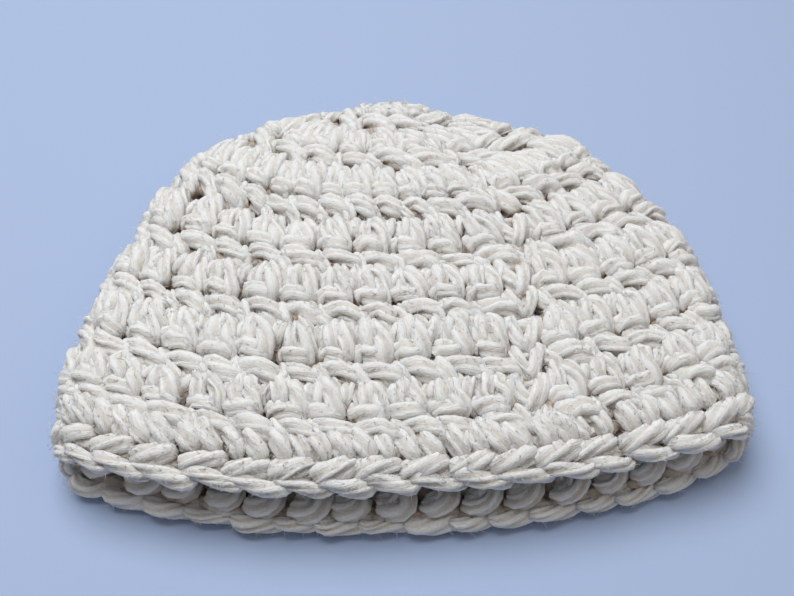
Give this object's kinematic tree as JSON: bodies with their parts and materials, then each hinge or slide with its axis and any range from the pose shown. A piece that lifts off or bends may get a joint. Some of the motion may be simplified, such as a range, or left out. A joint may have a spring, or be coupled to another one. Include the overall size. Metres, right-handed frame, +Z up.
{
  "type": "crochet beanie",
  "caption": "Chunky off-white crocheted baby beanie lying flat, with rounds of thick stitches and a braided edging at its mouth.",
  "frame": {"origin": "middle of the outline, on the surface the beanie lies on", "axes": "+X across the flattened beanie from fold to fold, +Y from the mouth towards the closed crown, +Z up through the thickness"},
  "size_m": [0.1944, 0.1654, 0.0329],
  "materials": {
    "wool": "soft thick multi-ply wool, matt and slightly fuzzy",
    "edging_wool": "the same wool worked as a braided edge"
  },
  "bodies": {
    "root": {"crown": "wool", "body": "wool", "brim_edge": "edging_wool"}
  },
  "joints": []
}
